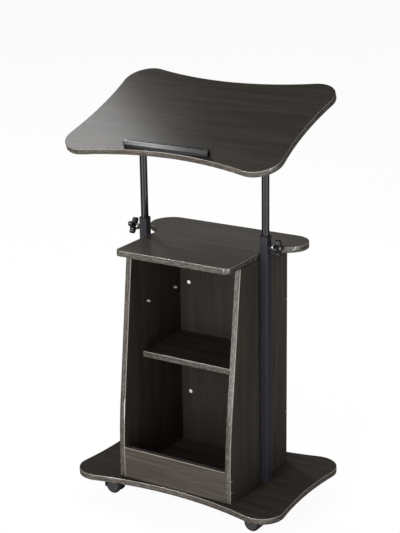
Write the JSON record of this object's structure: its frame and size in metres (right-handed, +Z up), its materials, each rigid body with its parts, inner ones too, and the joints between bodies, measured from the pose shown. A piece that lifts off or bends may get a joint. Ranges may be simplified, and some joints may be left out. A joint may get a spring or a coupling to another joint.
{
  "type": "rolling laptop cart",
  "caption": "Rolling laptop cart: open cabinet on a waisted base with casters, posts with clamped sliding tubes, and a tilting desktop with a stop ledge.",
  "frame": {"origin": "on the floor under the middle of the base board", "axes": "+X to the right seen from the front, +Y to the back, +Z up"},
  "size_m": [0.6, 0.3979, 1.077],
  "materials": {
    "board": "dark wood-grain laminate, satin",
    "edge_band": "streaky grey-brown edge band, satin",
    "post_paint": "black powder coat, satin",
    "tube_paint": "black paint, half gloss",
    "bracket_paint": "black powder coat",
    "zinc": "zinc plated",
    "black_bolt": "black oxide",
    "plug_plastic": "moulded, matte",
    "dowel_wood": "plain beech",
    "ledge_plastic": "moulded, fine texture",
    "knob_plastic": "moulded, fine texture",
    "hood_plastic": "moulded, half gloss",
    "wheel_plastic": "moulded nylon"
  },
  "bodies": {
    "cart": {"base_board": "board", "left_panel": "board", "right_panel": "board", "back_panel": "board", "kick_panel": "board", "middle_shelf": "board", "top_shelf": "board", "base_band": "edge_band", "left_panel_band": "edge_band", "right_panel_band": "edge_band", "kick_band": "edge_band", "shelf_band": "edge_band", "top_band": "edge_band", "left_post": "post_paint", "right_post": "post_paint", "panel_screws": "zinc", "barrel_nuts": "zinc", "shelf_pins": "zinc", "base_screws": "zinc", "clamp_nuts": "zinc", "caster_plates": "zinc", "caster_screws": "zinc", "foot_bolts": "zinc", "post_bolts": "black_bolt", "post_caps": "plug_plastic", "foot_plugs": "plug_plastic", "top_dowels": "dowel_wood"},
    "mast": {"left_tube": "tube_paint", "right_tube": "tube_paint", "tube_plugs": "plug_plastic", "pivot_bolts": "zinc", "pivot_nuts": "zinc", "tilt_studs": "zinc"},
    "desk": {"desk_board": "board", "desk_band": "edge_band", "ledge": "ledge_plastic", "left_bracket": "bracket_paint", "right_bracket": "bracket_paint", "bracket_screws": "zinc", "ledge_screws": "zinc"},
    "height_knob_left": {"left_knob": "knob_plastic", "left_stud": "zinc"},
    "height_knob_right": {"right_knob": "knob_plastic", "right_stud": "zinc"},
    "tilt_knob_left": {"left_tilt_knob": "knob_plastic"},
    "tilt_knob_right": {"right_tilt_knob": "knob_plastic"},
    "swivel_front_left": {"caster_hood_front_left": "hood_plastic"},
    "wheels_front_left": {"caster_wheels_front_left": "wheel_plastic", "caster_axle_front_left": "zinc"},
    "swivel_front_right": {"caster_hood_front_right": "hood_plastic"},
    "wheels_front_right": {"caster_wheels_front_right": "wheel_plastic", "caster_axle_front_right": "zinc"},
    "swivel_rear_left": {"caster_hood_rear_left": "hood_plastic"},
    "wheels_rear_left": {"caster_wheels_rear_left": "wheel_plastic", "caster_axle_rear_left": "zinc"},
    "swivel_rear_right": {"caster_hood_rear_right": "hood_plastic"},
    "wheels_rear_right": {"caster_wheels_rear_right": "wheel_plastic", "caster_axle_rear_right": "zinc"}
  },
  "joints": [
    {"name": "height", "type": "slide", "parent": "cart", "child": "mast", "axis": [0, 0, 1], "range_m": [-0.155, 0.07]},
    {"name": "tilt", "type": "hinge", "parent": "mast", "child": "desk", "pos_m": [0, -0.0025, 0.967], "axis": [1, 0, 0], "range_deg": [-21, 14]},
    {"name": "height_knob_left_turn", "type": "hinge", "parent": "cart", "child": "height_knob_left", "pos_m": [-0.208, -0.0025, 0.7005], "axis": [-1, 0, 0], "range_deg": [0, 360]},
    {"name": "tilt_knob_left_turn", "type": "hinge", "parent": "mast", "child": "tilt_knob_left", "pos_m": [-0.162, -0.0025, 0.929], "axis": [1, 0, 0], "range_deg": [0, 360]},
    {"name": "height_knob_right_turn", "type": "hinge", "parent": "cart", "child": "height_knob_right", "pos_m": [0.208, -0.0025, 0.7005], "axis": [1, 0, 0], "range_deg": [0, 360]},
    {"name": "tilt_knob_right_turn", "type": "hinge", "parent": "mast", "child": "tilt_knob_right", "pos_m": [0.162, -0.0025, 0.929], "axis": [-1, 0, 0], "range_deg": [0, 360]},
    {"name": "swivel_front_left_turn", "type": "hinge", "parent": "cart", "child": "swivel_front_left", "pos_m": [-0.228, -0.122, 0.05], "axis": [0, 0, 1], "continuous": true},
    {"name": "wheels_front_left_roll", "type": "hinge", "parent": "swivel_front_left", "child": "wheels_front_left", "pos_m": [-0.21, -0.122, 0.021], "axis": [0, 1, 0], "continuous": true},
    {"name": "swivel_front_right_turn", "type": "hinge", "parent": "cart", "child": "swivel_front_right", "pos_m": [0.228, -0.122, 0.05], "axis": [0, 0, 1], "continuous": true},
    {"name": "wheels_front_right_roll", "type": "hinge", "parent": "swivel_front_right", "child": "wheels_front_right", "pos_m": [0.21, -0.122, 0.021], "axis": [0, 1, 0], "continuous": true},
    {"name": "swivel_rear_left_turn", "type": "hinge", "parent": "cart", "child": "swivel_rear_left", "pos_m": [-0.228, 0.122, 0.05], "axis": [0, 0, 1], "continuous": true},
    {"name": "wheels_rear_left_roll", "type": "hinge", "parent": "swivel_rear_left", "child": "wheels_rear_left", "pos_m": [-0.21, 0.122, 0.021], "axis": [0, 1, 0], "continuous": true},
    {"name": "swivel_rear_right_turn", "type": "hinge", "parent": "cart", "child": "swivel_rear_right", "pos_m": [0.228, 0.122, 0.05], "axis": [0, 0, 1], "continuous": true},
    {"name": "wheels_rear_right_roll", "type": "hinge", "parent": "swivel_rear_right", "child": "wheels_rear_right", "pos_m": [0.21, 0.122, 0.021], "axis": [0, 1, 0], "continuous": true}
  ]
}
